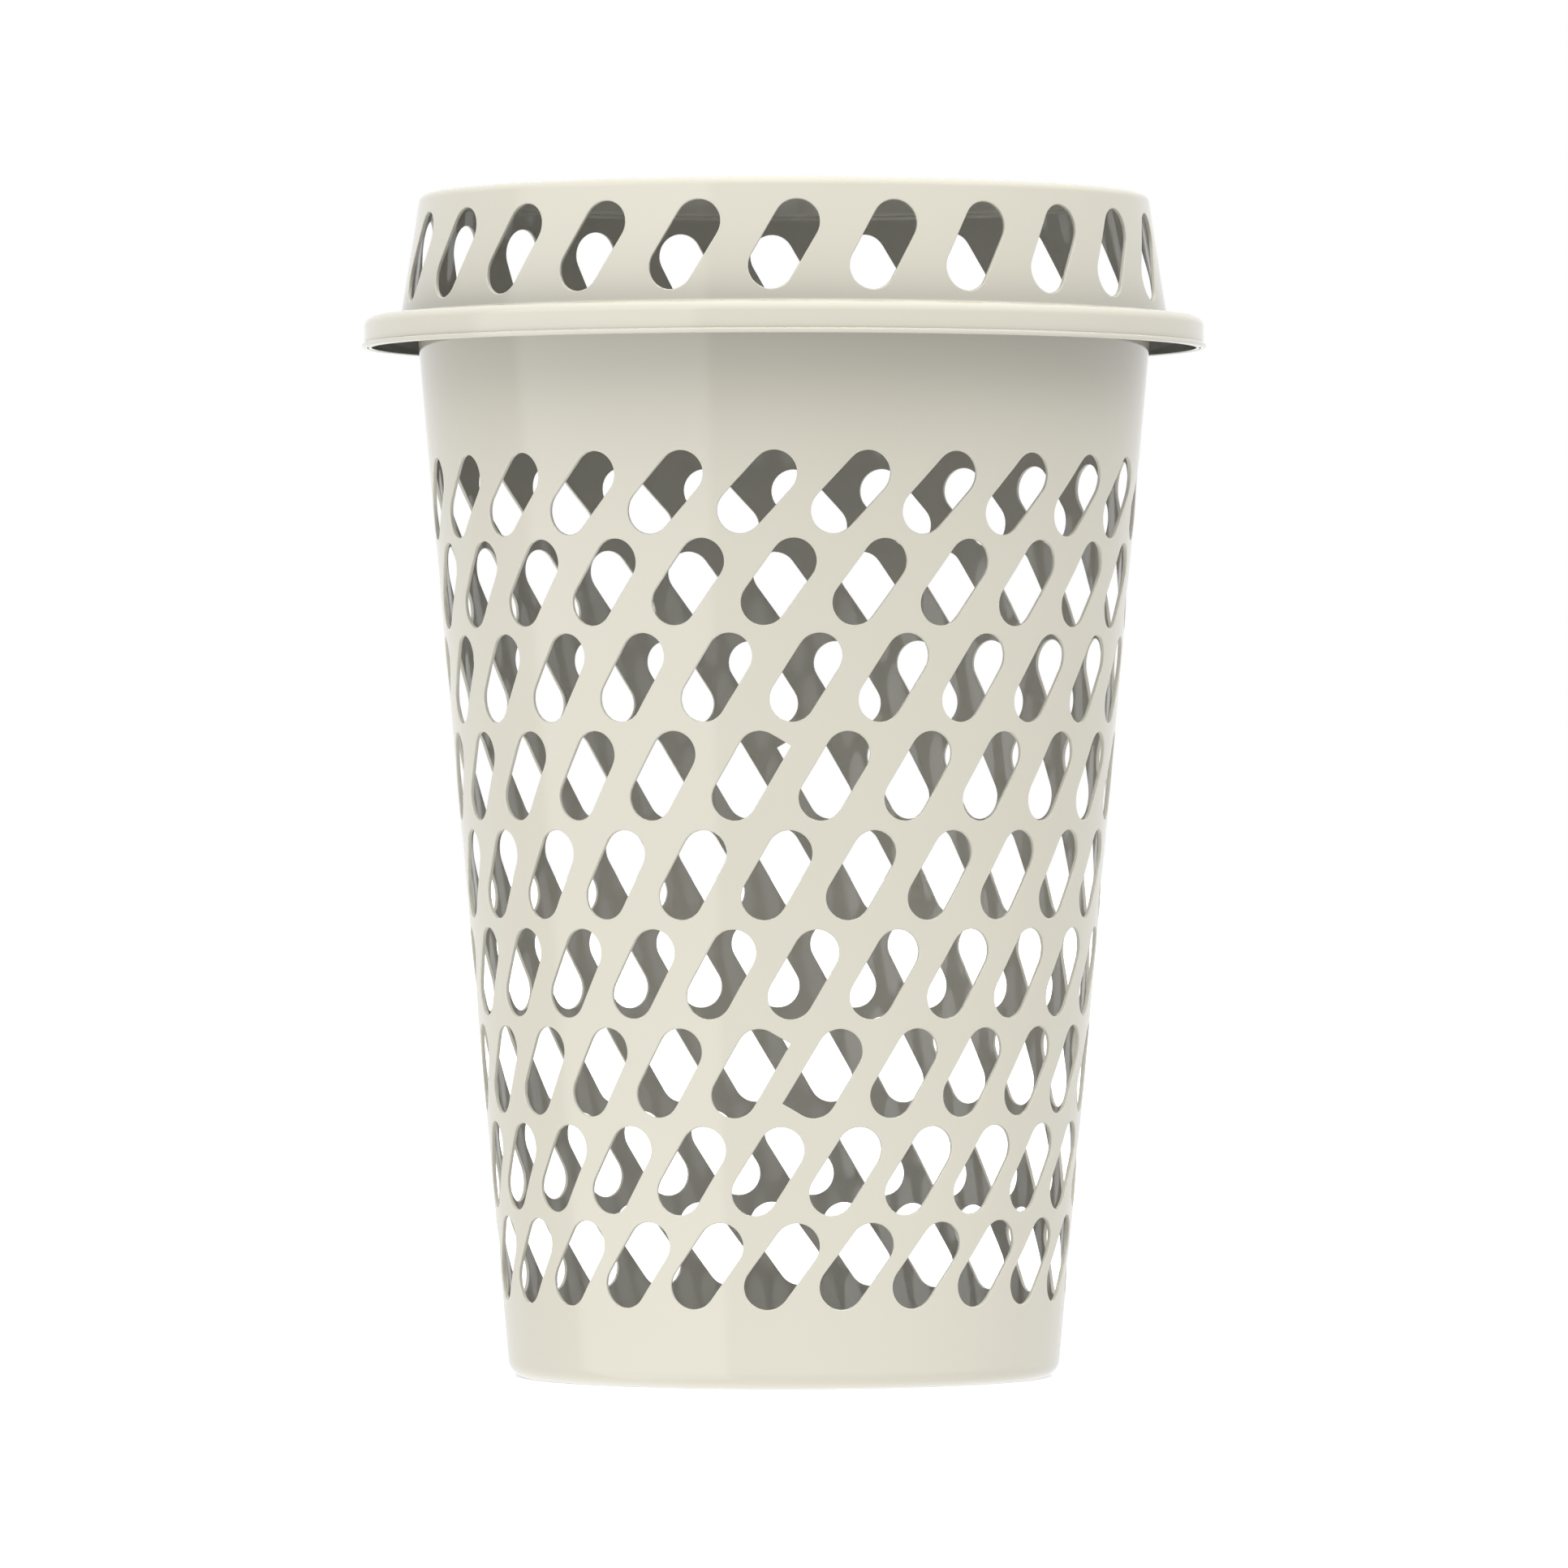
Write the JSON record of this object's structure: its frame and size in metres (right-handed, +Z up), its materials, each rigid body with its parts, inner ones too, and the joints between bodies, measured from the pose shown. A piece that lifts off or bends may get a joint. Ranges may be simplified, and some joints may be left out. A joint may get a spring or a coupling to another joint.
{
  "type": "laundry hamper with lid",
  "caption": "Tall round tapered laundry hamper in cream plastic, with rows of slanted air slots and a slotted, flat-topped lid that lifts off.",
  "frame": {"origin": "centre of the flat ring that the hamper stands on", "axes": "+Z up, -Y is the front, where slots with one square corner show"},
  "size_m": [0.4292, 0.4292, 0.6],
  "materials": {
    "tub_plastic": "cream polypropylene, low gloss outside and duller inside",
    "lid_plastic": "cream polypropylene, low gloss, glossier under the top"
  },
  "bodies": {
    "tub": {"tub_floor": "tub_plastic", "tub_foot": "tub_plastic", "tub_wall": "tub_plastic", "tub_flange": "tub_plastic", "tub_skirt": "tub_plastic"},
    "lid": {"lid_top": "lid_plastic", "lid_shoulder": "lid_plastic", "lid_crown_wall": "lid_plastic", "lid_flange": "lid_plastic", "lid_skirt": "lid_plastic"}
  },
  "joints": [
    {"name": "lid_lift", "type": "slide", "parent": "tub", "child": "lid", "axis": [0, 0, 1], "range_m": [0, 0.25]}
  ]
}
